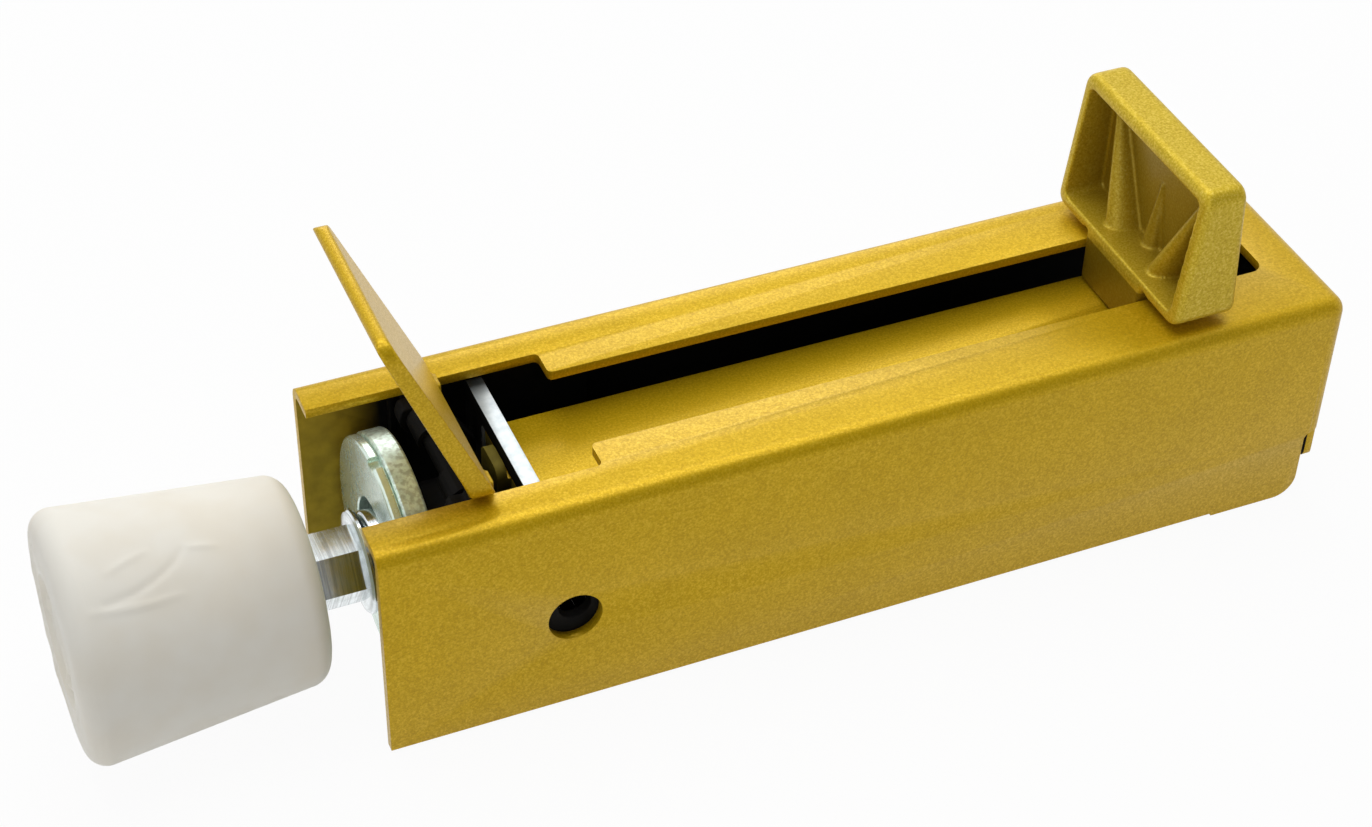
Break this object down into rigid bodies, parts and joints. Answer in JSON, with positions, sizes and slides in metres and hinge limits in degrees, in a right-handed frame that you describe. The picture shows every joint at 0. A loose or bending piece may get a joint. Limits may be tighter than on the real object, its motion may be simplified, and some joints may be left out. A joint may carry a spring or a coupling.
{
  "type": "pedal door stop",
  "caption": "Foot-worked door stop: a gold housing with a press pedal that pushes a rubber foot out of its end, and a leaning pedal that frees it again.",
  "frame": {"origin": "middle of the bracket face that lies on the door", "axes": "+X from the rubber foot to the housing's end wall, along its length; +Y across the housing; +Z out of the door towards the user"},
  "size_m": [0.19, 0.0392, 0.0674],
  "materials": {
    "gold_paint": "fine metallic gold enamel, satin",
    "cast_gold_paint": "gold enamel on a cast surface, satin",
    "black_oxide": "blackened steel, oiled",
    "zinc_plate": "zinc plated with a pale green passivation",
    "spring_steel": "drawn wire",
    "white_rubber": "moulded, matt"
  },
  "bodies": {
    "root": {"housing_shell": "gold_paint", "mounting_bracket": "black_oxide", "release_pin": "black_oxide", "return_guide_rod": "black_oxide", "guide_rod_clip": "black_oxide", "return_spring": "spring_steel", "lock_spring_near": "spring_steel", "lock_spring_far": "spring_steel"},
    "carriage": {"press_pedal": "cast_gold_paint", "slide_bar": "gold_paint", "pedal_rivet_front": "zinc_plate", "pedal_rivet_rear": "zinc_plate", "carriage_tube": "black_oxide", "front_disc": "zinc_plate", "back_disc": "zinc_plate", "rear_block": "black_oxide", "block_pin": "zinc_plate", "plunger_stop_pin": "zinc_plate", "pressure_spring": "spring_steel"},
    "plunger": {"plunger_rod": "zinc_plate", "hex_adaptor": "zinc_plate", "foot_stud": "zinc_plate", "rubber_foot": "white_rubber"},
    "release": {"release_pedal": "gold_paint", "pin_sleeve_near": "zinc_plate", "pin_sleeve_far": "zinc_plate"},
    "lock": {"lock_plate": "zinc_plate"}
  },
  "joints": [
    {"name": "carriage_slide", "type": "slide", "parent": "root", "child": "carriage", "axis": [-1, 0, 0], "range_m": [0, 0.05], "stiffness_N_per_m": 300, "springref_m": -0.03, "deforming": ["return_spring"]},
    {"name": "plunger_give", "type": "slide", "parent": "carriage", "child": "plunger", "axis": [1, 0, 0], "range_m": [0, 0.005], "stiffness_N_per_m": 3000, "springref_m": -0.005, "deforming": ["pressure_spring"]},
    {"name": "release_turn", "type": "hinge", "parent": "root", "child": "release", "pos_m": [-0.0594, 0, 0.0335], "axis": [0, -1, 0], "range_deg": [0, 15], "stiffness_Nm_per_rad": 0.05, "springref_deg": -17.19},
    {"name": "lock_tilt", "type": "hinge", "parent": "root", "child": "lock", "pos_m": [-0.0498, 0, 0.0024], "axis": [0, 1, 0], "range_deg": [0, 5.2], "deforming": ["lock_spring_near", "lock_spring_far"]}
  ],
  "couplings": [
    {"joint": "lock_tilt", "follows": "release_turn", "ratio": 0.3467}
  ]
}
